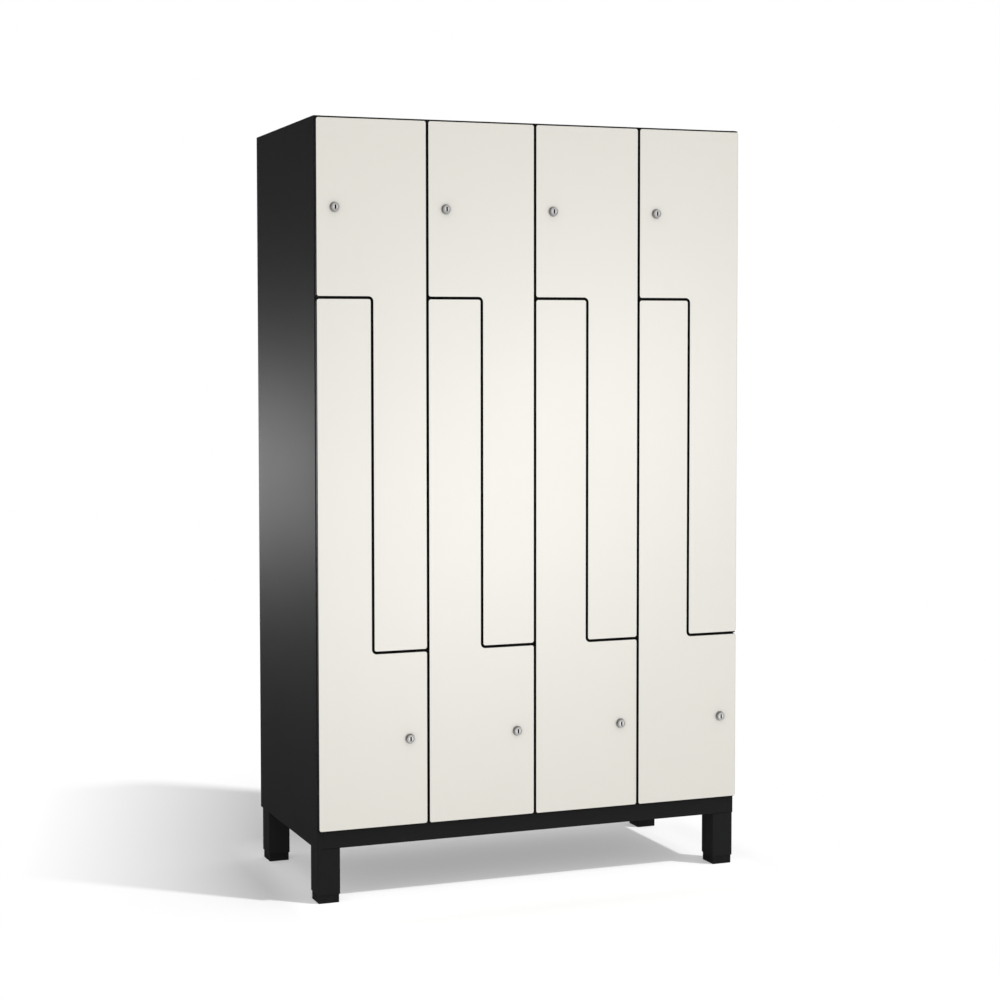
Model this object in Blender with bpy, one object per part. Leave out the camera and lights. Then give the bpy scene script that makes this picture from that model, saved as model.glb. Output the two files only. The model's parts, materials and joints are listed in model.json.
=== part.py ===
"""A free-standing steel locker of four columns, each closed by two L-shaped doors.

In every column an upper door and a lower door interlock, so that the gap between them is a Z.
X runs along the width, Y from front to back and Z up. The origin is on the floor, under the
middle of the whole locker, lock heads included. Lengths are in metres.

The builders below measure y from the front face of the carcass: every object hangs from one
empty, which carries that face to its place.
"""

import math

import bmesh
import bpy
from mathutils import Vector

# Carcass
WIDTH = 1.200
DEPTH = 0.500
HEIGHT = 1.995
COLUMNS = 4
LEG_HEIGHT = 0.140
SKIN = 0.0012
FOLD = 0.0015
SEAT = 0.0003

# Front frame
POST_FACE = 0.018
POST_DEPTH = 0.015
HEADER_HEIGHT = 0.025
LIP_HALF_HEIGHT = 0.015
TRAY_HEIGHT = 0.062

# Doors
DOOR_THICKNESS = 0.010
DOOR_GAP = 0.0055
DOOR_SIDE_INSET = 0.0014
DOOR_TOP_INSET = 0.005
PLINTH_SHOWS = 0.0485
WIDE_PART_HEIGHT = 0.4464
DOOR_CORNER = 0.0065

# Door pivots
PIVOT_FROM_EDGE = 0.006
PIVOT_PIN_RADIUS = 0.0025
PIVOT_PIN_REACH = 0.010
PIVOT_CLEARANCE = 0.0004
SWING_CLEARANCE = 0.0004
TAB_THICKNESS = 0.0022
TAB_MARGIN = 0.0045
LEDGE_DEPTH = 0.0025
LEAF_THICKNESS = 0.002
LEAF_HEIGHT = 0.012

# Locks
LOCK_FROM_EDGE = 0.0485
LOCK_HEAD = 0.0095
ROSETTE_RADIUS = 0.013
ROSETTE_THICKNESS = 0.0016
HEAD_RADIUS = 0.0108
SLEEVE_RADIUS = 0.0095
CORE_RADIUS = 0.0074
CORE_RECESS = 0.0006
TURN_CLEARANCE = 0.0004
KEY_SLOT_WIDTH = 0.0026
KEY_SLOT_HEIGHT = 0.0100
KEY_SLOT_DEPTH = 0.006
CAM_TIP_FROM_EDGE = 0.0035
CAM_WIDTH = 0.017
CAM_THICKNESS = 0.003
CAM_BEHIND_POST = 0.001

# Feet
FOOT_WIDTH = 0.060
FOOT_WALL = 0.0025
FOOT_FROM_SIDE = 0.002
FOOT_FROM_BACK = 0.010
FLANGE_MARGIN = 0.004
GLIDE_SHOWS = 0.022
GLIDE_INSET = 0.0022
GLIDE_STEM_INSET = 0.0035
GLIDE_STEM_REACH = 0.050

# Roundness
CORNER_STEPS = 4
PIN_SIDES = 12
LOCK_SIDES = 24

# Heights
DOOR_TOP_Z = HEIGHT - DOOR_TOP_INSET
DOOR_BOTTOM_Z = LEG_HEIGHT + PLINTH_SHOWS
UPPER_STEP_Z = DOOR_TOP_Z - WIDE_PART_HEIGHT - DOOR_GAP / 2
LOWER_STEP_Z = DOOR_BOTTOM_Z + WIDE_PART_HEIGHT + DOOR_GAP / 2
FLOOR_Z = LEG_HEIGHT + TRAY_HEIGHT

# Depths, from the front face of the carcass
PIVOT_FROM_FACE = DOOR_THICKNESS / 2
SWING_RADIUS = math.hypot(PIVOT_FROM_EDGE, DOOR_THICKNESS - PIVOT_FROM_FACE)
SWING_IN = SWING_RADIUS - (DOOR_THICKNESS - PIVOT_FROM_FACE)
DOOR_BACK_Y = -(SWING_IN + SWING_CLEARANCE)
DOOR_FRONT_Y = DOOR_BACK_Y - DOOR_THICKNESS
PIVOT_Y = DOOR_FRONT_Y + PIVOT_FROM_FACE
LOCK_FRONT_Y = DOOR_FRONT_Y - LOCK_HEAD
SHEETS_START_Y = POST_DEPTH + SEAT
SHEETS_END_Y = DEPTH - SKIN - SEAT
CAM_FRONT_Y = POST_DEPTH + CAM_BEHIND_POST
CAM_BACK_Y = CAM_FRONT_Y + CAM_THICKNESS

# Widths
HALF_WIDTH = WIDTH / 2
INNER_HALF_WIDTH = HALF_WIDTH - SKIN - SEAT
DOOR_WIDTH = (WIDTH - 2 * DOOR_SIDE_INSET - (COLUMNS - 1) * DOOR_GAP) / COLUMNS
COLUMN_PITCH = DOOR_WIDTH + DOOR_GAP


def material(name, colour, roughness, metallic):
    """A Principled material of one colour."""
    made = bpy.data.materials.new(name)
    made.use_nodes = True
    shader = made.node_tree.nodes["Principled BSDF"]
    shader.inputs["Base Color"].default_value = (*colour, 1.0)
    shader.inputs["Roughness"].default_value = roughness
    shader.inputs["Metallic"].default_value = metallic
    made.diffuse_color = (*colour, 1.0)
    return made


def swept_point(point, height, along):
    """The 3-D place of an outline's point at that height along an axis."""
    a, b = point
    return {"X": (height, a, b), "Y": (a, height, b), "Z": (a, b, height)}[along]


def prism(outline, start, end, along):
    """A closed outline swept along an axis: (y, z) points along X, (x, z) along Y, (x, y) along Z."""
    mesh = bmesh.new()
    near = [mesh.verts.new(swept_point(point, start, along)) for point in outline]
    far = [mesh.verts.new(swept_point(point, end, along)) for point in outline]
    mesh.faces.new(near)
    mesh.faces.new(far)
    for i in range(len(outline)):
        j = (i + 1) % len(outline)
        mesh.faces.new((near[i], near[j], far[j], far[i]))
    bmesh.ops.recalc_face_normals(mesh, faces=mesh.faces)
    return mesh


def rectangle(low, high):
    """The four corners of an upright rectangle."""
    return [low, (high[0], low[1]), high, (low[0], high[1])]


def box(low, high):
    """A block from its low corner to its high corner."""
    return prism(rectangle(low[:2], high[:2]), low[2], high[2], "Z")


def cup(low, high, wall):
    """A block with a hollow that opens downwards, such as a square tube with its top closed."""
    mesh = bmesh.new()
    hollow_low = (low[0] + wall, low[1] + wall)
    hollow_high = (high[0] - wall, high[1] - wall)
    outside, hollow = rectangle(low[:2], high[:2]), rectangle(hollow_low, hollow_high)
    outer_foot = [mesh.verts.new((x, y, low[2])) for x, y in outside]
    outer_head = [mesh.verts.new((x, y, high[2])) for x, y in outside]
    inner_foot = [mesh.verts.new((x, y, low[2])) for x, y in hollow]
    inner_head = [mesh.verts.new((x, y, high[2] - wall)) for x, y in hollow]
    mesh.faces.new(outer_head)
    mesh.faces.new(inner_head)
    for i in range(4):
        j = (i + 1) % 4
        mesh.faces.new((outer_foot[i], outer_foot[j], outer_head[j], outer_head[i]))
        mesh.faces.new((inner_foot[i], inner_foot[j], inner_head[j], inner_head[i]))
        mesh.faces.new((outer_foot[i], outer_foot[j], inner_foot[j], inner_foot[i]))
    bmesh.ops.recalc_face_normals(mesh, faces=mesh.faces)
    return mesh


def circle(centre, radius, sides):
    """A regular outline round a point."""
    turns = [2 * math.pi * i / sides for i in range(sides)]
    return [(centre[0] + radius * math.cos(t), centre[1] + radius * math.sin(t)) for t in turns]


def rounded(corners):
    """An outline of right-angled corners, each given as x, z and the radius of its arc."""
    outline = []
    for i, (x, z, radius) in enumerate(corners):
        corner = Vector((x, z))
        before = (Vector(corners[i - 1][:2]) - corner).normalized()
        after = (Vector(corners[(i + 1) % len(corners)][:2]) - corner).normalized()
        centre = corner + radius * (before + after)
        for step in range(CORNER_STEPS + 1):
            turn = math.pi / 2 * step / CORNER_STEPS
            outline.append(centre - radius * (after * math.cos(turn) + before * math.sin(turn)))
    return [tuple(point) for point in outline]


def turned(profile, sides, axis):
    """A ring turned about a line along Y through the point axis, from (radius, y) points."""
    mesh = bmesh.new()
    rings = []
    for radius, y in profile:
        places = circle(axis, radius, sides)
        rings.append([mesh.verts.new((x, y, z)) for x, z in places])
    for i, ring in enumerate(rings):
        other = rings[(i + 1) % len(rings)]
        for a in range(sides):
            b = (a + 1) % sides
            mesh.faces.new((ring[a], ring[b], other[b], other[a]))
    bmesh.ops.recalc_face_normals(mesh, faces=mesh.faces)
    return mesh


def piece(name, mesh, look, origin=(0, 0, 0), parent=None):
    """Makes an object of a mesh whose points are in the carcass's own places, with its origin set."""
    origin = Vector(origin)
    for vertex in mesh.verts:
        vertex.co -= origin
    data = bpy.data.meshes.new(name)
    mesh.to_mesh(data)
    mesh.free()
    data.shade_smooth()
    data.set_sharp_from_angle(angle=math.radians(30))
    data.materials.append(look)
    made = bpy.data.objects.new(name, data)
    bpy.context.scene.collection.objects.link(made)
    made.parent = parent or bpy.data.objects["locker"]
    made.location = origin - (parent.location if parent else Vector())
    return made


def combine(target, mesh, operation):
    """Adds a mesh to a piece, or cuts it away, with a Boolean that stays on the piece."""
    name = f"{target.name}_{operation.lower()}_{len(target.modifiers) + 1}"
    other = piece(name, mesh, target.data.materials[0])
    other.hide_render = True
    other.display_type = "WIRE"
    modifier = target.modifiers.new(operation.title(), "BOOLEAN")
    modifier.solver = "EXACT"
    modifier.operation = operation
    modifier.object = other


def column_centre(column):
    """The x of a column's middle, for columns 1 to COLUMNS."""
    return (column - (COLUMNS + 1) / 2) * COLUMN_PITCH


def boundary(number):
    """The x where column number meets the next one."""
    return (column_centre(number) + column_centre(number + 1)) / 2


def make_side_panels(paint):
    """The flat steel skins of the two sides."""
    for name, sign in (("left", -1), ("right", 1)):
        outer, inner = sign * HALF_WIDTH, sign * (HALF_WIDTH - SKIN)
        low = (min(outer, inner), 0, LEG_HEIGHT)
        high = (max(outer, inner), DEPTH, HEIGHT)
        piece(f"side_panel_{name}", box(low, high), paint)


def make_back_panel(paint):
    """The skin of the back, between the side skins."""
    low = (-INNER_HALF_WIDTH, DEPTH - SKIN, LEG_HEIGHT)
    high = (INNER_HALF_WIDTH, DEPTH, HEIGHT)
    piece("back_panel", box(low, high), paint)


def clear_of_side_posts(target):
    """Cuts the front corners off a folded panel, where the side posts run past it."""
    reach = FOLD
    for sign in (-1, 1):
        inner = sign * (HALF_WIDTH - POST_FACE - SEAT)
        outer = sign * (HALF_WIDTH + reach)
        low = (min(inner, outer), -reach, -reach)
        high = (max(inner, outer), SHEETS_START_Y, HEIGHT + reach)
        combine(target, box(low, high), "DIFFERENCE")


def make_top_panel(paint):
    """The roof, folded down at the front into the header that the upper doors close on."""
    header_z = HEIGHT - HEADER_HEIGHT
    outline = [
        (0, HEIGHT),
        (SHEETS_END_Y, HEIGHT),
        (SHEETS_END_Y, HEIGHT - FOLD),
        (FOLD, HEIGHT - FOLD),
        (FOLD, header_z + FOLD),
        (POST_DEPTH, header_z + FOLD),
        (POST_DEPTH, header_z),
        (0, header_z),
    ]
    panel = piece("top_panel", prism(outline, -INNER_HALF_WIDTH, INNER_HALF_WIDTH, "X"), paint)
    clear_of_side_posts(panel)


def make_base_tray(paint):
    """The floor, folded into the plinth in front and a wall behind, with flanges on the feet."""
    flange = FOOT_FROM_BACK + FOOT_WIDTH + FLANGE_MARGIN
    back = SHEETS_END_Y
    outline = [
        (flange, LEG_HEIGHT),
        (0, LEG_HEIGHT),
        (0, FLOOR_Z),
        (back, FLOOR_Z),
        (back, LEG_HEIGHT),
        (back - flange, LEG_HEIGHT),
        (back - flange, LEG_HEIGHT + FOLD),
        (back - FOLD, LEG_HEIGHT + FOLD),
        (back - FOLD, FLOOR_Z - FOLD),
        (FOLD, FLOOR_Z - FOLD),
        (FOLD, LEG_HEIGHT + FOLD),
        (flange, LEG_HEIGHT + FOLD),
    ]
    tray = piece("base_tray", prism(outline, -INNER_HALF_WIDTH, INNER_HALF_WIDTH, "X"), paint)
    clear_of_side_posts(tray)


def make_posts(paint):
    """The square-tube posts of the front frame: one at each side and one between columns."""
    spans = [(-INNER_HALF_WIDTH, POST_FACE - HALF_WIDTH, LEG_HEIGHT, HEIGHT)]
    for number in range(1, COLUMNS):
        x = boundary(number)
        head = HEIGHT - HEADER_HEIGHT - SEAT
        spans.append((x - POST_FACE, x + POST_FACE, FLOOR_Z + SEAT, head))
    spans.append((HALF_WIDTH - POST_FACE, INNER_HALF_WIDTH, LEG_HEIGHT, HEIGHT))
    for number, (left, right, foot, head) in enumerate(spans, 1):
        mesh = cup((left, 0, foot), (right, POST_DEPTH, head), FOLD)
        piece(f"front_post_{number}", mesh, paint)


def make_partitions(paint):
    """The sheets between columns, behind their posts."""
    for number in range(1, COLUMNS):
        x = boundary(number)
        low = (x - SKIN / 2, SHEETS_START_Y, FLOOR_Z + SEAT)
        high = (x + SKIN / 2, SHEETS_END_Y, HEIGHT - FOLD - SEAT)
        piece(f"partition_{number}", box(low, high), paint)


def z_outline(left, right, middle, half):
    """A Z of one thickness: a high shelf from the left, an upright, and a low shelf to the right."""
    return [
        (left, UPPER_STEP_Z - half),
        (middle - half, UPPER_STEP_Z - half),
        (middle - half, LOWER_STEP_Z - half),
        (right, LOWER_STEP_Z - half),
        (right, LOWER_STEP_Z + half),
        (middle + half, LOWER_STEP_Z + half),
        (middle + half, UPPER_STEP_Z + half),
        (left, UPPER_STEP_Z + half),
    ]


def make_dividers(paint):
    """The Z-shaped sheet that parts each column in two, with a folded lip behind the door gaps."""
    for column in range(1, COLUMNS + 1):
        middle = column_centre(column)
        wall_left = -HALF_WIDTH if column == 1 else boundary(column - 1) - SKIN / 2
        wall_right = HALF_WIDTH if column == COLUMNS else boundary(column) + SKIN / 2
        left, right = wall_left + SKIN + SEAT, wall_right - SKIN - SEAT
        face_left = POST_FACE + SEAT + (-HALF_WIDTH if column == 1 else boundary(column - 1))
        face_right = (HALF_WIDTH if column == COLUMNS else boundary(column)) - POST_FACE - SEAT
        lip = z_outline(face_left, face_right, middle, LIP_HALF_HEIGHT)
        divider = piece(f"z_divider_{column}", prism(lip, 0, POST_DEPTH, "Y"), paint)
        past_left, past_right = face_left - FOLD, face_right + FOLD
        hollow = z_outline(past_left, past_right, middle, LIP_HALF_HEIGHT - FOLD)
        combine(divider, prism(hollow, FOLD, POST_DEPTH + FOLD, "Y"), "DIFFERENCE")
        between_posts = z_outline(face_left, face_right, middle, SKIN / 2)
        combine(divider, prism(between_posts, FOLD / 2, SHEETS_START_Y + FOLD, "Y"), "UNION")
        sheet = z_outline(left, right, middle, SKIN / 2)
        combine(divider, prism(sheet, SHEETS_START_Y, SHEETS_END_Y, "Y"), "UNION")


def half_turn(x, z, column):
    """Turns a place on an upper door into the same place on the lower door of that column."""
    return 2 * column_centre(column) - x, DOOR_TOP_Z + DOOR_BOTTOM_Z - z


def door_corners(column):
    """The corners of an upper door: wide above, narrow and on the right below."""
    left = column_centre(column) - DOOR_WIDTH / 2
    right = column_centre(column) + DOOR_WIDTH / 2
    step_x = column_centre(column) + DOOR_GAP / 2
    step_z = UPPER_STEP_Z + DOOR_GAP / 2
    foot_z = LOWER_STEP_Z + DOOR_GAP / 2
    inner = DOOR_CORNER + DOOR_GAP
    return [
        (left, DOOR_TOP_Z, DOOR_CORNER),
        (right, DOOR_TOP_Z, DOOR_CORNER),
        (right, foot_z, DOOR_CORNER),
        (step_x, foot_z, DOOR_CORNER),
        (step_x, step_z, inner),
        (left, step_z, DOOR_CORNER),
    ]


def places(column, level):
    """Where a door's outline, pivot and lock are: for the upper door, or half turned for the lower."""
    corners = door_corners(column)
    pivot_x = column_centre(column) + DOOR_WIDTH / 2 - PIVOT_FROM_EDGE
    lock_x = column_centre(column) - DOOR_WIDTH / 2 + LOCK_FROM_EDGE
    lock_z = DOOR_TOP_Z - WIDE_PART_HEIGHT / 2
    if level == "lower":
        corners = [(*half_turn(x, z, column), radius) for x, z, radius in corners]
        pivot_x = half_turn(pivot_x, 0, column)[0]
        lock_x, lock_z = half_turn(lock_x, lock_z, column)
    heights = [z for _, z, _ in corners]
    return corners, (pivot_x, min(heights), max(heights)), (lock_x, lock_z)


def make_door(column, level, laminate):
    """A compact-laminate door, bored for its lock and, at both ends of its hinge edge, its pivots."""
    corners, (pivot_x, foot, head), lock = places(column, level)
    panel = prism(rounded(corners), DOOR_FRONT_Y, DOOR_BACK_Y, "Y")
    door = piece(f"{level}_door_{column}", panel, laminate, origin=(pivot_x, PIVOT_Y, foot))
    past = DOOR_THICKNESS / 2
    hole = circle(lock, SLEEVE_RADIUS + SEAT, LOCK_SIDES)
    combine(door, prism(hole, DOOR_FRONT_Y - past, DOOR_BACK_Y + past, "Y"), "DIFFERENCE")
    bore = circle((pivot_x, PIVOT_Y), PIVOT_PIN_RADIUS + PIVOT_CLEARANCE, PIN_SIDES)
    depth = PIVOT_PIN_REACH + SWING_CLEARANCE
    combine(door, prism(bore, foot - past, foot + depth, "Z"), "DIFFERENCE")
    combine(door, prism(bore, head - depth, head + past, "Z"), "DIFFERENCE")
    return door


def make_lock(column, level, door, plating):
    """The lock's fixed housing: a head with a rosette on the door and a sleeve through it."""
    lock = places(column, level)[2]
    bore = CORE_RADIUS + TURN_CLEARANCE
    rosette_front = DOOR_FRONT_Y - SEAT - ROSETTE_THICKNESS
    chamfer = CORE_RECESS
    profile = [
        (bore, LOCK_FRONT_Y),
        (HEAD_RADIUS - chamfer, LOCK_FRONT_Y),
        (HEAD_RADIUS, LOCK_FRONT_Y + chamfer),
        (HEAD_RADIUS, rosette_front),
        (ROSETTE_RADIUS, rosette_front),
        (ROSETTE_RADIUS, DOOR_FRONT_Y - SEAT),
        (SLEEVE_RADIUS, DOOR_FRONT_Y - SEAT),
        (SLEEVE_RADIUS, POST_DEPTH),
        (bore, POST_DEPTH),
    ]
    origin = (lock[0], DOOR_FRONT_Y, lock[1])
    piece(f"{level}_lock_{column}", turned(profile, LOCK_SIDES, lock), plating, origin, door)


def make_cam(column, level, door, steel):
    """The turning core with its key slot and the cam on its end, hanging down when unlocked."""
    x, z = places(column, level)[2]
    core = prism(circle((x, z), CORE_RADIUS, LOCK_SIDES), LOCK_FRONT_Y + CORE_RECESS, CAM_BACK_Y, "Y")
    cam = piece(f"{level}_cam_{column}", core, steel, (x, DOOR_FRONT_Y, z), door)
    half, reach = CAM_WIDTH / 2, LOCK_FROM_EDGE - CAM_TIP_FROM_EDGE
    steps = LOCK_SIDES // 2
    above = [math.pi * i / steps for i in range(steps + 1)]
    outline = [(x + half * math.cos(t), z + half * math.sin(t)) for t in above]
    outline += [(x - half * math.cos(t), z - reach + half * (1 - math.sin(t))) for t in above]
    combine(cam, prism(outline, CAM_FRONT_Y, CAM_BACK_Y + SEAT, "Y"), "UNION")
    slot_low = (x - KEY_SLOT_WIDTH / 2, LOCK_FRONT_Y - KEY_SLOT_DEPTH, z - KEY_SLOT_HEIGHT / 2)
    slot_high = (x + KEY_SLOT_WIDTH / 2, LOCK_FRONT_Y + KEY_SLOT_DEPTH, z + KEY_SLOT_HEIGHT / 2)
    combine(cam, box(slot_low, slot_high), "DIFFERENCE")


def pivot_pin(x, seat_z, end_z):
    """A pin that stands out of its tab into a door's edge."""
    return prism(circle((x, PIVOT_Y), PIVOT_PIN_RADIUS, PIN_SIDES), seat_z, end_z, "Z")


def make_pivot_rail(name, level, door_z, away, paint):
    """A strip along the carcass with a tab and a pin for each door; away is its side of door_z."""
    near, far = door_z + away * SEAT, door_z + away * (SEAT + TAB_THICKNESS)
    pivots = [places(column, level)[1][0] for column in range(1, COLUMNS + 1)]
    end = HALF_WIDTH - DOOR_SIDE_INSET
    ledge, tab = -SEAT - LEDGE_DEPTH, PIVOT_Y - TAB_MARGIN
    outline = [(end, -SEAT), (-end, -SEAT), (-end, ledge)]
    for x in pivots:
        left, right = x - TAB_MARGIN, x + TAB_MARGIN
        outline += [(left, ledge), (left, tab), (right, tab), (right, ledge)]
    outline.append((end, ledge))
    rail = piece(name, prism(outline, near, far, "Z"), paint)
    middle, end_z = (near + far) / 2, door_z - away * PIVOT_PIN_REACH
    for x in pivots:
        combine(rail, pivot_pin(x, middle, end_z), "UNION")


def make_step_pivot(column, level, paint):
    """The angle bracket in a step of the Z that holds one end of a door."""
    _, (x, foot, head), _ = places(column, level)
    door_z, away = (foot, -1) if level == "upper" else (head, 1)
    near, far = door_z + away * SEAT, door_z + away * (SEAT + TAB_THICKNESS)
    tip = door_z + away * (SEAT + LEAF_HEIGHT)
    outline = [
        (PIVOT_Y - TAB_MARGIN, near),
        (-SEAT, near),
        (-SEAT, tip),
        (-SEAT - LEAF_THICKNESS, tip),
        (-SEAT - LEAF_THICKNESS, far),
        (PIVOT_Y - TAB_MARGIN, far),
    ]
    bracket = prism(outline, x - TAB_MARGIN, x + TAB_MARGIN, "X")
    made = piece(f"{level}_step_pivot_{column}", bracket, paint)
    middle, end_z = (near + far) / 2, door_z - away * PIVOT_PIN_REACH
    combine(made, pivot_pin(x, middle, end_z), "UNION")


def make_feet(paint, rubber):
    """Four square-tube feet, each with a glide that slides out of it to level the locker."""
    side = HALF_WIDTH - FOOT_FROM_SIDE - FOOT_WIDTH / 2
    front, back = FOOT_WIDTH / 2, DEPTH - FOOT_FROM_BACK - FOOT_WIDTH / 2
    for end, y in (("front", front), ("rear", back)):
        for hand, x in (("left", -side), ("right", side)):
            half = FOOT_WIDTH / 2
            low = (x - half, y - half, GLIDE_SHOWS + SEAT)
            high = (x + half, y + half, LEG_HEIGHT - SEAT)
            piece(f"foot_{end}_{hand}", cup(low, high, FOOT_WALL), paint)
            half = FOOT_WIDTH / 2 - GLIDE_INSET
            shoe = box((x - half, y - half, 0), (x + half, y + half, GLIDE_SHOWS))
            glide = piece(f"glide_{end}_{hand}", shoe, rubber, origin=(x, y, 0))
            half = FOOT_WIDTH / 2 - GLIDE_STEM_INSET
            low = (x - half, y - half, GLIDE_SHOWS / 2)
            high = (x + half, y + half, GLIDE_SHOWS + GLIDE_STEM_REACH)
            combine(glide, box(low, high), "UNION")


def clear_scene():
    """Removes whatever the file held."""
    for old in list(bpy.data.objects):
        bpy.data.objects.remove(old, do_unlink=True)


def main():
    clear_scene()
    paint = material("black_powder_coat", (0.017, 0.018, 0.019), 0.42, 0.0)
    laminate = material("off_white_laminate", (0.84, 0.82, 0.77), 0.30, 0.0)
    plating = material("satin_nickel", (0.62, 0.60, 0.57), 0.28, 1.0)
    steel = material("bright_steel", (0.56, 0.55, 0.53), 0.35, 1.0)
    plastic = material("black_plastic", (0.012, 0.012, 0.013), 0.55, 0.0)

    locker = bpy.data.objects.new("locker", None)
    bpy.context.scene.collection.objects.link(locker)
    locker.location.y = -(DEPTH + LOCK_FRONT_Y) / 2

    make_side_panels(paint)
    make_back_panel(paint)
    make_top_panel(paint)
    make_base_tray(paint)
    make_posts(paint)
    make_partitions(paint)
    make_dividers(paint)
    make_pivot_rail("top_pivot_rail", "upper", DOOR_TOP_Z, 1, paint)
    make_pivot_rail("bottom_pivot_rail", "lower", DOOR_BOTTOM_Z, -1, paint)
    for column in range(1, COLUMNS + 1):
        for level in ("upper", "lower"):
            make_step_pivot(column, level, paint)
            door = make_door(column, level, laminate)
            make_lock(column, level, door, plating)
            make_cam(column, level, door, steel)
    make_feet(paint, plastic)


main()
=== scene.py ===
"""Finishes a free-standing z locker: four columns, each closed by two L-shaped doors.

The packed model gives every size and place. The operators below build the real pieces round it:
folded sheet metal, laminate doors with a dark core, turned lock heads, feet, glides and coat hooks,
then the studio that they stand in.
"""

import json
import math

import bmesh
import bpy
from bpy.props import FloatProperty, FloatVectorProperty, IntProperty, PointerProperty
from mathutils import Euler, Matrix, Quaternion, Vector

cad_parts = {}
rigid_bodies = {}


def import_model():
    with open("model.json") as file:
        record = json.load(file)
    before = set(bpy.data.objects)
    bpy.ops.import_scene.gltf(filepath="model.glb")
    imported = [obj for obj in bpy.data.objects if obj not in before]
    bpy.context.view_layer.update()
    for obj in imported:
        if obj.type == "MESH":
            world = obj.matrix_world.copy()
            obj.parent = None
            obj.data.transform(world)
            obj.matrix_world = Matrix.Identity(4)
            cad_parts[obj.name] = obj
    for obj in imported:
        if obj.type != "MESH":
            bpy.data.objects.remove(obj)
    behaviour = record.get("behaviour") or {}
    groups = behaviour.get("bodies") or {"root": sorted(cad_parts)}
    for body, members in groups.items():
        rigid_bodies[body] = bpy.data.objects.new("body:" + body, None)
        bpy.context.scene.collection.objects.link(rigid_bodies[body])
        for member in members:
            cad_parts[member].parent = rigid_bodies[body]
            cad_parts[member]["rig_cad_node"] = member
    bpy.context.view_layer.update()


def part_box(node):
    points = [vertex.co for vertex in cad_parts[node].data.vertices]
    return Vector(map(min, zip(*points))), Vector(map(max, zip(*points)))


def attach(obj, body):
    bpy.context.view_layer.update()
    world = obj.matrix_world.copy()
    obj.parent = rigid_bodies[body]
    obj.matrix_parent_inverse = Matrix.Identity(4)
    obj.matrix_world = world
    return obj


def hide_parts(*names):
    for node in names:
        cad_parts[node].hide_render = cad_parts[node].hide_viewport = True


bl_info = {
    "name": "Z Locker Finisher",
    "version": (1, 0, 0),
    "blender": (4, 5, 0),
    "location": "3D View > Sidebar > Locker",
    "description": "Builds the sheet metal, doors, locks and feet of a z locker on its packed model",
    "category": "Object",
}

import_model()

COLUMNS = range(1, 5)
LEVELS = ("upper", "lower")

FRONT_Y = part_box("base_tray")[0].y
BACK_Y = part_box("back_panel")[1].y
TOP_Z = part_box("top_panel")[1].z
CARCASS_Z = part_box("base_tray")[0].z
SHELF_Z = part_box("base_tray")[1].z
HALF_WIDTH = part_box("side_panel_right")[1].x

# How far a cutter reaches past what it cuts, and the gap left between faces that would coincide
PAST = 0.01
SEAM = 0.0003


# Settings


def length_prop(name, description, default, low, high):
    """A length and its limits."""
    return FloatProperty(
        name=name, description=description, default=default, min=low, max=high, precision=4, unit="LENGTH"
    )


def count_prop(name, description, default, low, high):
    """A whole number and its limits."""
    return IntProperty(name=name, description=description, default=default, min=low, max=high)


def number_prop(name, description, default, high=1e6, subtype="NONE"):
    """A number from 0 upwards."""
    return FloatProperty(
        name=name, description=description, default=default, min=0, max=high, subtype=subtype
    )


def angle_prop(name, description, degrees):
    """An angle, given in degrees."""
    return FloatProperty(
        name=name, description=description, default=math.radians(degrees), subtype="ANGLE"
    )


def colour_prop(name, description, default):
    """A colour."""
    return FloatVectorProperty(
        name=name, description=description, default=default, size=3, min=0.0, max=1.0, subtype="COLOR"
    )


class CarcassSizes(bpy.types.PropertyGroup):
    """Sheet thicknesses and bends of the steel body."""

    skin: length_prop("Skin", "Thickness of the side, back and inner sheets", 0.0012, 0.0005, 0.003)
    frame_sheet: length_prop("Frame sheet", "Thickness of the other sheets", 0.0015, 0.0005, 0.003)
    bend_radius: length_prop("Bend radius", "Outer radius of a fold in the sheets", 0.0022, 0.0016, 0.004)
    bend_steps: count_prop("Bend steps", "Facets in a fold", 5, 2, 12)
    flange: length_prop("Flange", "Width of the edges that join the sheets", 0.010, 0.004, 0.03)


class DoorSizes(bpy.types.PropertyGroup):
    """Edges and corners of the doors."""

    corner_steps: count_prop("Corner steps", "Facets in a rounded corner", 12, 4, 32)
    arris: length_prop("Arris", "Width of the chamfer round a door's face", 0.0010, 0.0002, 0.002)


class LockSizes(bpy.types.PropertyGroup):
    """Turned parts of the locks."""

    sides: count_prop("Sides", "Facets round a turned part", 56, 24, 96)
    edge_radius: length_prop("Edge radius", "Roundness of the turned edges", 0.0007, 0.0002, 0.0015)
    nut_width: length_prop("Nut width", "Size across the flats of the nut", 0.024, 0.02, 0.03)
    nut_thickness: length_prop("Nut thickness", "Thickness of the nut", 0.005, 0.002, 0.008)


class FootSizes(bpy.types.PropertyGroup):
    """Square-tube feet and their glides."""

    tube_corner: length_prop("Tube corner", "Outer corner radius of the square tube", 0.0025, 0.001, 0.008)
    tube_wall: length_prop("Tube wall", "Wall thickness of the square tube", 0.0025, 0.001, 0.004)
    glide_edge: length_prop("Glide edge", "Roundness of the glide's lower edge", 0.0015, 0.0005, 0.004)


class HookSizes(bpy.types.PropertyGroup):
    """Coat hooks under the roof and the high shelves."""

    wire: length_prop("Wire", "Thickness of the hook's round bar", 0.006, 0.003, 0.01)
    drop: length_prop("Drop", "How far the hook hangs down", 0.050, 0.02, 0.09)
    reach: length_prop("Reach", "How far the hook's arms stand out", 0.026, 0.01, 0.05)


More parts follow.
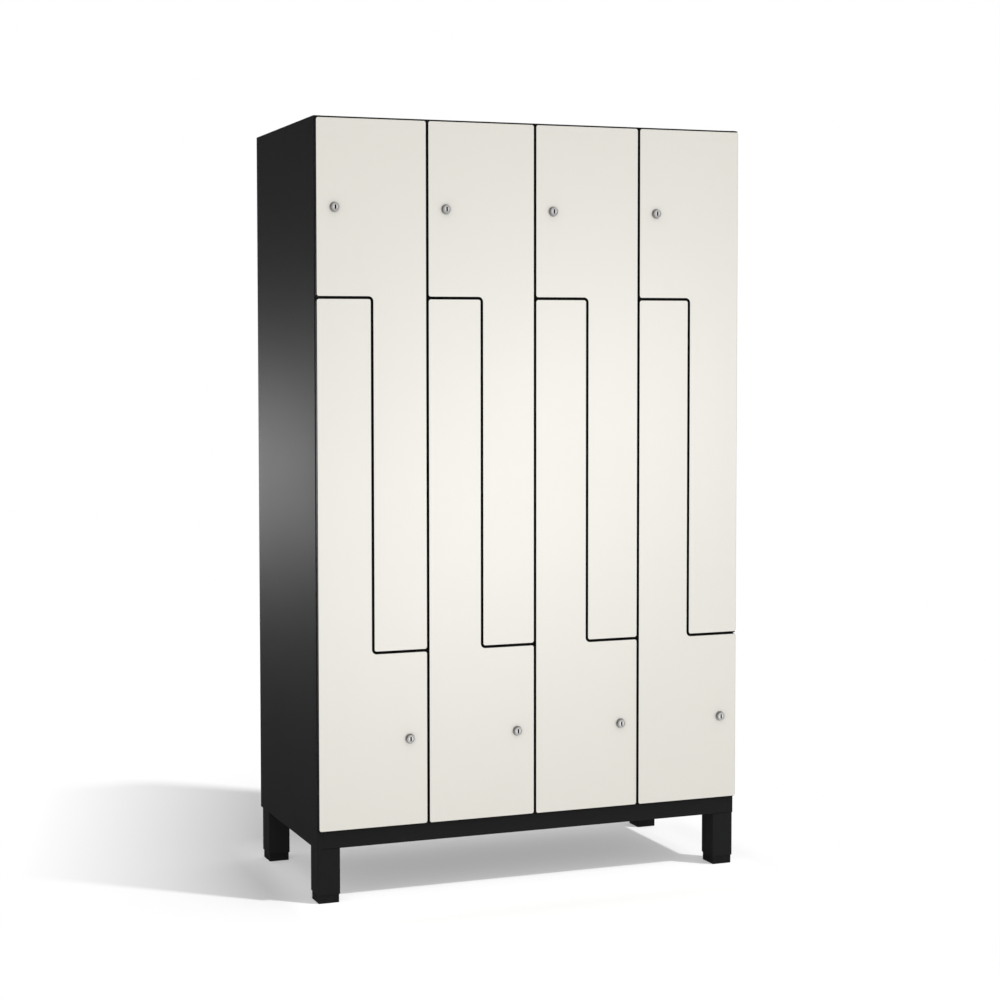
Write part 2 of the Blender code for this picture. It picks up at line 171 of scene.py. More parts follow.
class Finishes(bpy.types.PropertyGroup):
    """Colours and sheens."""

    paint: colour_prop("Powder coat", "Colour of the steel body", (0.0158, 0.0160, 0.0162))
    paint_roughness: number_prop("Powder coat roughness", "How matt it is", 0.30, 1.0, "FACTOR")
    face: colour_prop("Door face", "Colour of the laminate", (0.745, 0.723, 0.659))
    core: colour_prop("Door core", "Colour of the door's edges", (0.0100, 0.0095, 0.0090))
    nickel: colour_prop("Nickel", "Colour of the cores that the keys turn", (0.97, 0.955, 0.935))
    head_nickel: colour_prop("Head nickel", "Colour of the heads' faces", (0.66, 0.65, 0.635))
    # A darker copy of the heads' nickel: painted shade on the side of each head and on its rosette.
    rosette_painted_shade: colour_prop("Rosette painted shade", "Colour behind those faces", (0.40, 0.395, 0.385))
    zinc: colour_prop("Zinc", "Colour of the cams, nuts, hooks and screws", (0.52, 0.52, 0.51))
    plastic: colour_prop("Glide plastic", "Colour of the glides", (0.0125, 0.0125, 0.0128))


class StudioSettings(bpy.types.PropertyGroup):
    """Camera and light."""

    lens: FloatProperty(
        name="Lens", description="Focal length", default=67.555, min=20, max=200, unit="CAMERA"
    )
    camera: FloatVectorProperty(
        name="Camera",
        description="Where the camera stands",
        default=(-2.0743, -4.7174, 1.3879),
        size=3,
        subtype="TRANSLATION",
        unit="LENGTH",
    )
    yaw: angle_prop("Yaw", "How far the camera is turned to the right of straight ahead", 18.371)
    pitch: angle_prop("Pitch", "How far the camera looks down", 2.637)
    roll: angle_prop("Roll", "How far the camera is tilted to the left", -0.292)
    shift_x: FloatProperty(name="Shift X", description="Lens shift sideways", default=0.180)
    shift_y: FloatProperty(name="Shift Y", description="Lens shift upwards", default=-0.055)
    front_light: number_prop("Front light", "Strength of the soft light from in front", 0.742)
    rear_light: number_prop("Rear light", "Strength of the soft light from behind", 0.50)
    from_above: number_prop("From above", "How much stronger the soft light is there than level", 0.8, 1)
    from_right: number_prop("From the right", "How much brighter the mirrored studio is there", 0.5, 0.7)
    from_below: number_prop("From below", "How much brighter the mirrored studio is there", 0.7, 0.7)
    window: number_prop("Window light", "Strength of the high light that casts the shadow", 2.65)
    window_turn: angle_prop("Window turn", "How far in front of the right side that light stands", 38)
    window_rise: angle_prop("Window rise", "How high that light stands", 50.5)
    front_sheen: number_prop("Front sheen", "Power of the lamp that the doors mirror, in watts", 143)
    front_sheen_tilt: angle_prop("Front sheen tilt", "How far the lamp's right end is raised", 45)
    side_sheen: number_prop("Side sheen", "Strength of the long light that the left side mirrors", 5.4)
    sheen_turn: angle_prop("Sheen turn", "How far left of straight back the long light is", 17.5)
    sheen_drop: angle_prop("Sheen drop", "How far below eye level the long light is", 3.4)
    front_mirror: number_prop("Front mirror", "Brightness of the mirrored studio in front", 0.60)
    rear_mirror: number_prop("Rear mirror", "Brightness of the mirrored studio behind", 0.08)


SETTINGS = {
    "locker_carcass": CarcassSizes,
    "locker_doors": DoorSizes,
    "locker_locks": LockSizes,
    "locker_feet": FootSizes,
    "locker_hooks": HookSizes,
    "locker_finishes": Finishes,
    "locker_studio": StudioSettings,
}


# Node trees


def node_input(node, key):
    """A node's input by number, identifier or name."""
    if isinstance(key, int):
        return node.inputs[key]
    for attribute in ("identifier", "name"):
        for socket in node.inputs:
            if getattr(socket, attribute) == key:
                return socket
    raise KeyError(f"{node.bl_idname} has no input {key}")


def add_node(tree, kind, inputs, settings):
    """Adds a node: its settings first, then the values or links of its inputs. Gives its outputs."""
    made = tree.nodes.new(kind)
    for key, value in settings.items():
        setattr(made, key, value)
    for key, value in (inputs or {}).items():
        socket = node_input(made, key)
        source = getattr(value, "socket", value)
        if isinstance(source, bpy.types.NodeSocket):
            tree.links.new(source, socket)
        else:
            socket.default_value = source
    return made.outputs


class Wire:
    """A shader socket that carries a number, so that sums of sockets are written as sums."""

    def __init__(self, finish, socket):
        self.finish = finish
        self.socket = socket

    def math(self, operation, *terms):
        """A sum, product or size."""
        inputs = dict(enumerate(terms))
        return self.finish.node("ShaderNodeMath", inputs, operation=operation)["Value"]

    def __add__(self, other):
        return self.math("ADD", self, other)

    def __mul__(self, other):
        return self.math("MULTIPLY", self, other)

    def __sub__(self, other):
        return self.math("SUBTRACT", self, other)

    def __abs__(self):
        return self.math("ABSOLUTE", self)


class Outputs:
    """The outputs of a shader node, as wires, by identifier or name."""

    def __init__(self, finish, sockets):
        self.finish = finish
        self.sockets = sockets

    def __getitem__(self, key):
        for socket in self.sockets:
            if key in (socket.identifier, socket.name):
                return Wire(self.finish, socket)
        raise KeyError(key)


class Finish:
    """A shader tree under construction: a material's, or the world's."""

    def __init__(self, owner):
        owner.use_nodes = True
        self.owner = owner
        self.tree = owner.node_tree
        self.tree.nodes.clear()

    def node(self, kind, inputs=None, **settings):
        """Adds a node and gives its outputs as wires."""
        return Outputs(self, add_node(self.tree, kind, inputs, settings))

    def place(self):
        """Object coordinates."""
        return self.node("ShaderNodeTexCoord")["Object"]

    def stretched(self, *scale):
        """Object coordinates scaled along each axis."""
        inputs = {"Vector": self.place(), "Scale": scale}
        return self.node("ShaderNodeMapping", inputs, vector_type="POINT")["Vector"]

    def noise(self, where, scale, detail=2.0):
        """Noise from 0 to 1."""
        inputs = {"Vector": where, "Scale": scale, "Detail": detail}
        return self.node("ShaderNodeTexNoise", inputs, noise_dimensions="3D")["Fac"]

    def axes(self, where):
        """The parts of a vector along X, Y and Z."""
        return self.node("ShaderNodeSeparateXYZ", {"Vector": where})

    def ramp(self, value, ends, low=0.0, high=1.0, kind="LINEAR"):
        """A number that goes from low to high while a value goes from one end to the other."""
        inputs = {"Value": value, "From Min": ends[0], "From Max": ends[1], "To Min": low, "To Max": high}
        return self.node("ShaderNodeMapRange", inputs, interpolation_type=kind)["Result"]

    def mixed(self, factor, first, second):
        """A colour between two."""
        inputs = {"Factor_Float": factor, "A_Color": (*first, 1.0), "B_Color": (*second, 1.0)}
        return self.node("ShaderNodeMix", inputs, data_type="RGBA")["Result_Color"]

    def shades(self, factor, colour, dark, light):
        """A colour between a darker and a lighter tone of it."""
        return self.mixed(factor, shade(colour, dark), shade(colour, light))

    def bump(self, height, strength, distance):
        """A normal from a height."""
        inputs = {"Height": height, "Strength": strength, "Distance": distance}
        return self.node("ShaderNodeBump", inputs)["Normal"]

    def glow(self, strength, kind="Emission"):
        """White light of some strength, from a surface or from a background."""
        inputs = {"Color": (1.0, 1.0, 1.0, 1.0), "Strength": strength}
        return self.node(f"ShaderNode{kind}", inputs)[kind]

    def blend(self, factor, first, second):
        """A shader between two."""
        return self.node("ShaderNodeMixShader", {"Fac": factor, 1: first, 2: second})["Shader"]

    def surface(self, tone, rough, normal=None, gloss=0.5, metal=0.0):
        """Ends a material in a Principled shader."""
        inputs = {"Base Color": tone, "Roughness": rough, "Specular IOR Level": gloss, "Metallic": metal}
        if normal:
            inputs["Normal"] = normal
        return self.end(self.node("ShaderNodeBsdfPrincipled", inputs)["BSDF"])

    def end(self, shader, kind="Material"):
        """Leads a shader to the tree's output."""
        self.node(f"ShaderNodeOutput{kind}", {"Surface": shader})
        return self.owner


def shade(colour, amount):
    """A colour made lighter or darker."""
    return tuple(min(1.0, channel * amount) for channel in colour)


# Materials


def powder_coat(finish, finishes):
    """Satin black powder coat: a fine orange peel, a little cloudiness in its sheen."""
    where = finish.place()
    cloud = finish.noise(where, 2.2, 3.0)
    peel = finish.noise(where, 520.0)
    grain = finish.noise(where, 1900.0, 1.0)
    tone = finish.shades(cloud * 0.7 + peel * 0.3, finishes.paint, 0.86, 1.16)
    rough = cloud * 0.05 + grain * 0.05 + (finishes.paint_roughness - 0.05)
    return finish.surface(tone, rough, finish.bump(peel + grain * 0.4, 0.16, 0.0004), 0.03)


def laminate_face(finish, finishes):
    """Off-white laminate with a fine pearl texture."""
    where = finish.place()
    cloud = finish.noise(where, 3.1)
    pearl = finish.noise(where, 760.0, 3.0)
    tone = finish.shades(cloud * 0.6 + pearl * 0.4, finishes.face, 0.985, 1.015)
    rough = pearl * 0.10 + cloud * 0.04 + 0.33
    return finish.surface(tone, rough, finish.bump(pearl, 0.10, 0.0003))


def laminate_core(finish, finishes):
    """The sawn and polished edge of the board: nearly black, in thin layers."""
    layers = finish.noise(finish.stretched(40.0, 4200.0, 40.0), 1.0)
    saw = finish.noise(finish.stretched(900.0, 60.0, 900.0), 1.0, 1.0)
    tone = finish.shades(layers, finishes.core, 0.7, 1.5)
    rough = layers * 0.12 + 0.30
    return finish.surface(tone, rough, finish.bump(saw + layers * 0.5, 0.12, 0.0002), 0.12)


def turned_metal(finish, tone):
    """Plated metal of some tone, with a faint turned grain."""
    grain = finish.noise(finish.stretched(300.0, 2600.0, 300.0), 1.0)
    smudge = finish.noise(finish.place(), 160.0)
    rough = grain * 0.10 + smudge * 0.06 + 0.24
    return finish.surface(tone, rough, finish.bump(grain, 0.10, 0.0001), metal=1.0)


def satin_nickel(finish, finishes):
    """Bright satin nickel of the cores."""
    cloud = finish.noise(finish.place(), 160.0)
    return turned_metal(finish, finish.shades(cloud, finishes.nickel, 0.93, 1.05))


def dark_nickel(finish, finishes):
    """Nickel plate of the fixed heads: bright on the face, with painted shade on what lies behind it,
    which takes a darker copy of the same plate.
    """
    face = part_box("upper_lock_1")[0].y
    # Painted shade: all that lies more than about a millimetre behind the face, the head's side and the
    # rosette, takes the darker tone.
    behind = finish.ramp(finish.axes(finish.place())["Y"], (face + 0.0002, face + 0.0012))
    return turned_metal(finish, finish.mixed(behind, finishes.head_nickel, finishes.rosette_painted_shade))


def zinc_plate(finish, finishes):
    """Zinc-plated steel: cloudy, a little uneven in its sheen."""
    cloud = finish.noise(finish.place(), 240.0, 3.0)
    scratches = finish.noise(finish.stretched(1800.0, 90.0, 90.0), 1.0, 1.0)
    rough = cloud * 0.16 + scratches * 0.08 + 0.26
    tone = finish.shades(cloud, finishes.zinc, 0.86, 1.10)
    return finish.surface(tone, rough, finish.bump(scratches, 0.08, 0.0001), metal=1.0)


def glide_plastic(finish, finishes):
    """Moulded black plastic with a spark-eroded grain."""
    where = finish.place()
    grain = finish.noise(where, 1300.0)
    scuff = finish.noise(where, 60.0, 3.0)
    tone = finish.shades(scuff, finishes.plastic, 0.85, 1.5)
    rough = grain * 0.12 + scuff * 0.08 + 0.42
    return finish.surface(tone, rough, finish.bump(grain, 0.2, 0.0002), 0.03)


def keyhole_painted_shade(finish, _finishes):
    """Painted shade in a key slot: near-black, mottled a little at random."""
    slot_mottle = finish.noise(finish.place(), 900.0)
    tone = finish.mixed(slot_mottle, (0.002, 0.002, 0.002), (0.006, 0.006, 0.006))
    return finish.surface(tone, slot_mottle * 0.2 + 0.6, gloss=0.03)


LOOKS = {
    "paint": ("Black powder coat", powder_coat),
    "face": ("Off-white laminate", laminate_face),
    "core": ("Black laminate core", laminate_core),
    "nickel": ("Satin nickel", satin_nickel),
    "dark_nickel": ("Dark nickel", dark_nickel),
    "zinc": ("Zinc plate", zinc_plate),
    "plastic": ("Black glide plastic", glide_plastic),
    "keyhole": ("Key slot", keyhole_painted_shade),
}


def look(key):
    """The material of that short name, made when it is first asked for."""
    name, recipe = LOOKS[key]
    made = bpy.data.materials.get(name)
    return made or recipe(Finish(bpy.data.materials.new(name)), bpy.context.scene.locker_finishes)


# Outlines


def rectangle(low, high):
    """The four corners of an upright rectangle."""
    return [low, (high[0], low[1]), high, (low[0], high[1])]


def rounded(corners, steps):
    """An outline with arcs at its right-angled corners, each given as a, b and a radius."""
    outline = []
    for number, (a, b, radius) in enumerate(corners):
        corner = Vector((a, b))
        before = (Vector(corners[number - 1][:2]) - corner).normalized()
        after = (Vector(corners[(number + 1) % len(corners)][:2]) - corner).normalized()
        centre = corner + radius * (before + after)
        for step in range(steps + 1):
            turn = math.pi / 2 * step / steps
            outline.append(centre - radius * (after * math.cos(turn) + before * math.sin(turn)))
    return [tuple(point) for point in outline]


def rounded_rectangle(low, high, radius, steps=6):
    """A rectangle with the same arc at each corner."""
    return rounded([(*point, radius) for point in rectangle(low, high)], steps)


def circle(centre, radius, sides):
    """A regular outline round a point."""
    turns = [2 * math.pi * side / sides for side in range(sides)]
    return [(centre[0] + radius * math.cos(t), centre[1] + radius * math.sin(t)) for t in turns]


def eased(profile, radius, steps=3):
    """A closed profile with each convex or concave corner rounded by up to a radius."""
    made = []
    for number, point in enumerate(profile):
        here = Vector(point)
        before = Vector(profile[number - 1]) - here
        after = Vector(profile[(number + 1) % len(profile)]) - here
        reach = min(radius, before.length * 0.45, after.length * 0.45)
        start, end = here + before.normalized() * reach, here + after.normalized() * reach
        for step in range(steps + 1):
            t = step / steps
            made.append(tuple(start * (1 - t) ** 2 + here * 2 * t * (1 - t) + end * t**2))
    return made


def inward_normals(outline):
    """For each point of a closed outline, the step inwards that insets both its edges by one."""
    area = sum(a[0] * b[1] - b[0] * a[1] for a, b in zip(outline, outline[1:] + outline[:1]))
    turn = 1 if area > 0 else -1
    steps = []
    for number, point in enumerate(outline):
        here = Vector(point)
        into = (here - Vector(outline[number - 1])).normalized()
        out = (Vector(outline[(number + 1) % len(outline)]) - here).normalized()
        first = Vector((-into.y, into.x)) * turn
        second = Vector((-out.y, out.x)) * turn
        steps.append(tuple((first + second) / max(0.2, 1 + first.dot(second))))
    return steps


def swept(point, height, along):
    """The place in space of an outline's point at a height along an axis."""
    a, b = point
    return {"X": (height, a, b), "Y": (a, height, b), "Z": (a, b, height)}[along]


# Shapes


def skinned(rings, ends="capped"):
    """A closed shape over rings of places; its ends are capped, joined to each other, or points."""
    shape = bmesh.new()
    rings = [[shape.verts.new(place) for place in ring] for ring in rings]
    pairs = list(zip(rings, rings[1:]))
    if ends == "joined":
        pairs.append((rings[-1], rings[0]))
    for near, far in pairs:
        count = max(len(near), len(far))
        for i in range(count):
            j = (i + 1) % count
            corners = [near[i % len(near)], near[j % len(near)], far[j % len(far)], far[i % len(far)]]
            shape.faces.new(list(dict.fromkeys(corners)))
    if ends == "capped":
        shape.faces.new(rings[0])
        shape.faces.new(rings[-1])
    bmesh.ops.recalc_face_normals(shape, faces=shape.faces)
    return shape


def layered(outline, layers, along):
    """An outline, concave or not, carried through layers of height and inset, both ends closed."""
    steps = list(zip(outline, inward_normals(outline)))
    rings = []
    for height, inset in layers:
        points = [(a + step_a * inset, b + step_b * inset) for (a, b), (step_a, step_b) in steps]
        rings.append([swept(point, height, along) for point in points])
    return skinned(rings)


def prism(outline, start, end, along):
    """An outline carried straight along an axis."""
    return layered(outline, [(start, 0), (end, 0)], along)


def chamfered(start, end, ease):
    """The layers of a plate with a chamfer round both faces."""
    return [(start, ease), (start + ease, 0), (end - ease, 0), (end, ease)]


def box_shape(low, high):
    """A block, for cutting."""
    return prism(rectangle(low[:2], high[:2]), low[2], high[2], "Z")


def turned(profile, centre, sides, ends="joined"):
    """A solid turned about a line along Y, from (radius, y) points; radius 0 gives a point."""
    rings = []
    for radius, y in profile:
        points = circle(centre, radius, sides) if radius else [centre]
        rings.append([(x, y, z) for x, z in points])
    return skinned(rings, ends)


# Objects


def evaluated_mesh(source):
    """The mesh that an object's modifiers give."""
    bpy.context.view_layer.update()
    evaluated = source.evaluated_get(bpy.context.evaluated_depsgraph_get())
    return bpy.data.meshes.new_from_object(evaluated)


def placed(name, data):
    """An object in the scene, at the origin."""
    made = bpy.data.objects.new(name, data)
    bpy.context.scene.collection.objects.link(made)
    return made


def mesh_object(name, shape):
    """A bmesh as an object."""
    data = bpy.data.meshes.new(name)
    shape.to_mesh(data)
    shape.free()
    return placed(name, data)


def converted(source, name):
    """A plain mesh object made of what an object's modifiers give; the source is removed."""
    data = evaluated_mesh(source)
    data.name = name
    bpy.data.objects.remove(source, do_unlink=True)
    return placed(name, data)


def reworked(data, work):
    """Runs a function over a mesh as a bmesh."""
    shape = bmesh.new()
    shape.from_mesh(data)
    work(shape)
    shape.to_mesh(data)
    shape.free()


def joined_points(shape):
    """Joins the points of a bmesh that lie on each other."""
    bmesh.ops.remove_doubles(shape, verts=shape.verts, dist=1e-6)


def smooth(made, angle=35):
    """Shades an object smooth, except over its sharp edges, and keeps its flat faces flat."""
    made.data.shade_smooth()
    made.data.set_sharp_from_angle(angle=math.radians(angle))
    modifier = made.modifiers.new("Flat faces", "WEIGHTED_NORMAL")
    modifier.keep_sharp = True
    data = evaluated_mesh(made)
    made.modifiers.clear()
    made.data = data
    return made


def coated(made, *looks):
    """Gives an object its materials, the first of them all over."""
    made.data.materials.clear()
    for key in looks:
        made.data.materials.append(look(key))
    for polygon in made.data.polygons:
        polygon.material_index = 0
    return made


def cut_away(target, shapes):
    """Cuts shapes out of an object and returns it as a plain mesh of the same name."""
    name = target.name
    target.name = f"{name}_uncut"
    tools = [mesh_object("cutting_tool", shape) for shape in shapes]
    for tool in tools:
        modifier = target.modifiers.new("Cut", "BOOLEAN")
        modifier.solver = "EXACT"
        modifier.object = tool
    made = converted(target, name)
    for tool in tools:
        bpy.data.objects.remove(tool, do_unlink=True)
    return made


def settle(made, body, slot, *nodes):
    """Hangs a finished object on its body and hides the nodes of the model that it stands for. The slot is
    not used.
    """
    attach(made, body)
    if nodes:
        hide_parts(*nodes)


def place_piece(name, shape, key, body, slot, *nodes):
    """Turns a bmesh into a finished piece of one material."""
    settle(smooth(coated(mesh_object(name, shape), key)), body, slot, *nodes)


def fix_painted(made, *nodes):
    """Fixes a painted piece to the carcass."""
    settle(made, "carcass", "carcass_paint", *nodes)


def carved(made, shapes, key="paint"):
    """An object with shapes cut away, in one material."""
    return smooth(coated(cut_away(made, shapes), key))


# Geometry Nodes


class Tree:
    """A Geometry Nodes tree with named inputs, built a node at a time."""

    def __init__(self, name, inputs):
        self.tree = bpy.data.node_groups.new(name, "GeometryNodeTree")
        self.tree.is_modifier = True
        face = self.tree.interface
        for label, kind in {"Geometry": "Geometry", **inputs, "Material": "Material"}.items():
            face.new_socket(label, in_out="INPUT", socket_type=f"NodeSocket{kind}")
        face.new_socket("Geometry", in_out="OUTPUT", socket_type="NodeSocketGeometry")
        self.inputs = self.tree.nodes.new("NodeGroupInput").outputs

    def node(self, kind, inputs, **settings):
        """Adds a node and gives its first output."""
        return add_node(self.tree, kind, inputs, settings)[0]

    def join(self, *parts):
        """Several geometries as one."""
        made = self.tree.nodes.new("GeometryNodeJoinGeometry")
        for part in parts:
            self.tree.links.new(part, made.inputs[0])
        return made.outputs[0]

    def finish(self, geometry):
        """Ends the tree in real geometry with its material."""
        real = self.node("GeometryNodeRealizeInstances", {"Geometry": geometry})
        inputs = {"Geometry": real, "Material": self.inputs["Material"]}
        painted = self.node("GeometryNodeSetMaterial", inputs)
        end = self.tree.nodes.new("NodeGroupOutput")
        self.tree.links.new(painted, end.inputs["Geometry"])
        return self.tree


def bent_sheet_tree(name):
    """Folds a strip of sheet metal along a path: rounds its bends, widens it, then thickens it."""
    kinds = {"Bend Radius": "Float", "Bend Steps": "Int", "Width": "Vector", "Thickness": "Float"}
    tree = Tree(name, kinds)
    given = tree.inputs
    path = tree.node("GeometryNodeMeshToCurve", {"Mesh": given["Geometry"]})
    inputs = {
        "Curve": path,
        "Count": given["Bend Steps"],
        "Radius": given["Bend Radius"],
        "Limit Radius": True,
    }
    bent = tree.node("GeometryNodeFilletCurve", inputs, mode="POLY")
    line = tree.node("GeometryNodeCurveToMesh", {"Curve": bent})
    inputs = {"Mesh": line, "Offset": given["Width"], "Offset Scale": 1.0}
    strip = tree.node("GeometryNodeExtrudeMesh", inputs, mode="EDGES")
    inputs = {"Mesh": strip, "Offset Scale": given["Thickness"], "Individual": False}
    inner = tree.node("GeometryNodeExtrudeMesh", inputs, mode="FACES")
    outer = tree.node("GeometryNodeFlipFaces", {"Mesh": strip})
    inputs = {"Geometry": tree.join(inner, outer), "Distance": 1e-6}
    return tree.finish(tree.node("GeometryNodeMergeByDistance", inputs))


def fasteners_tree(name):
    """Puts a copy of one fastener at each point of a mesh, turned to the point's own direction."""
    tree = Tree(name, {"Fastener": "Object", "Size": "Float"})
    given = tree.inputs
    inputs = {"Object": given["Fastener"], "As Instance": True}
    one = add_node(tree.tree, "GeometryNodeObjectInfo", inputs, {"transform_space": "ORIGINAL"})
    points = tree.node("GeometryNodeMeshToPoints", {"Mesh": given["Geometry"]})
    facing = tree.node("GeometryNodeInputNamedAttribute", {"Name": "facing"}, data_type="FLOAT_VECTOR")
    turn = tree.node("FunctionNodeAlignRotationToVector", {"Vector": facing}, axis="Z")
    size = tree.node("ShaderNodeCombineXYZ", dict.fromkeys("XYZ", given["Size"]))
    inputs = {"Points": points, "Instance": one["Geometry"], "Rotation": turn, "Scale": size}
    return tree.finish(tree.node("GeometryNodeInstanceOnPoints", inputs))


TREES = {"Bent sheet": bent_sheet_tree, "Fasteners at points": fasteners_tree}


def grown(shape, name, tree, key, values):
    """A plain mesh object of one material that a Geometry Nodes tree makes out of a bmesh."""
    made = mesh_object(f"{name}_base", shape)
    modifier = made.modifiers.new(tree, "NODES")
    modifier.node_group = bpy.data.node_groups.get(tree) or TREES[tree](tree)
    values = {**values, "Material": look(key)}
    for item in modifier.node_group.interface.items_tree:
        if item.item_type == "SOCKET" and item.in_out == "INPUT" and item.name in values:
            modifier[item.identifier] = values[item.name]
    return coated(converted(made, name), key)


def bent_sheet(name, path, along, start, end, thickness):
    """A folded sheet: path is its outer face in section, swept from start to end along an axis."""
    sizes = bpy.context.scene.locker_carcass
    shape = bmesh.new()
    points = [shape.verts.new(swept(point, start, along)) for point in path]
    for near, far in zip(points, points[1:]):
        shape.edges.new((near, far))
    values = {
        "Bend Radius": sizes.bend_radius,
        "Bend Steps": sizes.bend_steps,
        "Width": Vector(swept((0, 0), end - start, along)),
        "Thickness": thickness,
    }
    made = grown(shape, name, "Bent sheet", "paint", values)
    reworked(made.data, lambda sheet: bmesh.ops.recalc_face_normals(sheet, faces=sheet.faces))
    return smooth(made)


def pan_head(name):
    """A pan-head screw of radius 1, standing on its base plane, with a cross recess."""
    profile = [(1.0, 0.0), (1.0, 0.22), (0.93, 0.42), (0.72, 0.56), (0.40, 0.63)]
    sides, arm, half, floor = 24, 0.46, 0.09, 0.28
    rings = [[(x, y, z) for x, y in circle((0, 0), radius, sides)] for radius, z in profile]
    bars = []
    for reach_x, reach_y in ((arm, half), (half, arm)):
        outline = rectangle((-reach_x, -reach_y), (reach_x, reach_y))
        bars.append(prism(outline, floor, 1.0, "Z"))
    return smooth(cut_away(mesh_object(name, skinned(rings)), bars))


def add_screws(name, radius, body, places):
    """One piece of zinc-plated screws at (point, direction) places."""
    screw = pan_head(f"{name}_pattern")
    shape = bmesh.new()
    layer = shape.verts.layers.float_vector.new("facing")
    for point, direction in places:
        shape.verts.new(point)[layer] = direction
    made = grown(shape, name, "Fasteners at points", "zinc", {"Fastener": screw, "Size": radius})
    settle(smooth(made), body, "lock_steel")
    bpy.data.objects.remove(screw, do_unlink=True)


# Pieces


def column_span(column):
    """The left edge, middle and right edge of a column's doors."""
    low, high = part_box(f"upper_door_{column}")
    return low.x, (low.x + high.x) / 2, high.x


def door_gap():
    """The width of the gaps between doors."""
    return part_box("upper_door_2")[0].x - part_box("upper_door_1")[1].x


def lock_centre(column, level):
    """The x and z of a lock's middle."""
    low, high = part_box(f"{level}_lock_{column}")
    return (low.x + high.x) / 2, (low.z + high.z) / 2


def corner_blocks(depth, top, overlap=0.0006):
    """Blocks that end the roof and the tray in the folded fronts of the sides, as if welded."""
    blocks = []
    for number, sign in ((1, -1), (5, 1)):
        low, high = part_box(f"front_post_{number}")
        inner = (high.x if number == 1 else low.x) + sign * overlap
        near, far = sorted((inner, sign * (HALF_WIDTH + PAST)))
        blocks.append(box_shape((near, FRONT_Y - PAST, CARCASS_Z - PAST), (far, FRONT_Y + depth, top)))
    return blocks


def make_side(sizes, number, hand, sign):
    """A side panel in one piece with the post that its front edge is folded into."""
    low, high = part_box(f"front_post_{number}")
    inner = high.x if number == 1 else low.x
    outer = sign * HALF_WIDTH
    path = [(inner + sign * sizes.flange / 2, high.y), (inner, high.y), (inner, FRONT_Y)]
    path += [(outer, FRONT_Y), (outer, BACK_Y)]
    if sign < 0:
        path.reverse()
    made = bent_sheet(f"side_{hand}", path, "Z", CARCASS_Z, TOP_Z, sizes.skin)
    near, far = sorted((inner - sign * sizes.flange, sign * (HALF_WIDTH - sizes.skin)))
    under_roof = box_shape(
        (near, FRONT_Y + sizes.skin, TOP_Z - sizes.frame_sheet), (far, high.y + PAST, TOP_Z + PAST)
    )
    fix_painted(carved(made, [under_roof]), f"side_panel_{hand}", f"front_post_{number}")


def make_back(sizes):
    """The back panel, its two edges folded forwards."""
    low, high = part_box("back_panel")
    fold = BACK_Y - sizes.bend_radius - sizes.skin / 2
    path = [(high.x, fold), (high.x, BACK_Y), (low.x, BACK_Y), (low.x, fold)]
    fix_painted(bent_sheet("back", path, "Z", CARCASS_Z, TOP_Z, sizes.skin), "back_panel")


def make_roof(sizes, weld_depth):
    """The roof, folded down and back over the doors as a header."""
    low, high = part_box("top_panel")
    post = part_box("front_post_2")[1]
    header = post.z + SEAM
    path = [(high.y, TOP_Z), (FRONT_Y, TOP_Z), (FRONT_Y, header), (post.y, header)]
    made = bent_sheet("roof", path, "X", low.x, high.x, sizes.frame_sheet)
    blocks = corner_blocks(weld_depth, TOP_Z - sizes.frame_sheet)
    cover = sizes.skin * 0.8
    blocks += corner_blocks(cover, TOP_Z + PAST)
    fix_painted(carved(made, blocks), "top_panel")


def make_tray(sizes, weld_depth):
    """The floor, folded down and under at the front and the back."""
    low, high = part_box("base_tray")
    past_foot = 0.014
    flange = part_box("foot_front_left")[1].y - FRONT_Y + past_foot
    path = [(high.y - flange, CARCASS_Z), (high.y, CARCASS_Z), (high.y, SHELF_Z)]
    path += [(FRONT_Y, SHELF_Z), (FRONT_Y, CARCASS_Z), (FRONT_Y + flange, CARCASS_Z)]
    made = bent_sheet("floor_tray", path, "X", low.x, high.x, sizes.frame_sheet)
    fix_painted(carved(made, corner_blocks(weld_depth, TOP_Z)), "base_tray")


class LOCKER_OT_shell(bpy.types.Operator):
    """Folds the sides, the back, the roof and the floor tray"""

    bl_idname = "locker.shell"
    bl_label = "Shell"
    bl_options = {"REGISTER", "UNDO"}

    def execute(self, context):
        sizes = context.scene.locker_carcass
        make_side(sizes, 1, "left", -1)
        make_side(sizes, 5, "right", 1)
        make_back(sizes)
        weld_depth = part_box("front_post_1")[1].y - FRONT_Y - sizes.skin
        make_roof(sizes, weld_depth)
        make_tray(sizes, weld_depth)
        return {"FINISHED"}


def make_divider(sizes, column):
    """A z-shaped sheet with flanges on the walls, and the lip behind the gaps of the doors."""
    node = f"z_divider_{column}"
    low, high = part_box(node)
    middle = column_span(column)[1]
    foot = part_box(f"upper_door_{column}")[0].z - door_gap() / 2
    half = foot - low.z
    top = high.z - half
    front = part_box("partition_1")[0].y
    skin, wall = sizes.skin, sizes.frame_sheet
    upright, shelf, floor = middle + skin / 2, top + skin / 2, foot + skin / 2
    path = [(low.x, top - sizes.flange), (low.x, shelf), (upright, shelf), (upright, floor)]
    path += [(high.x - skin, floor), (high.x - skin, foot + sizes.flange)]
    fix_painted(bent_sheet(f"divider_{column}", path, "Y", front, high.y, skin), node)
    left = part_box(f"front_post_{column}")[1].x + SEAM
    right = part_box(f"front_post_{column + 1}")[0].x - SEAM
    outline = z_outline(left, right, middle, top, foot, half)
    inner = z_outline(left - wall, right + wall, middle, top, foot, half - wall)
    ease = wall / 3
    depths = [(low.y, ease), (low.y + ease, 0), (front - ease, 0)]
    lip = mesh_object(f"lip_{column}", layered(outline, depths, "Y"))
    fix_painted(carved(lip, [prism(inner, low.y + wall, front, "Y")]), node)


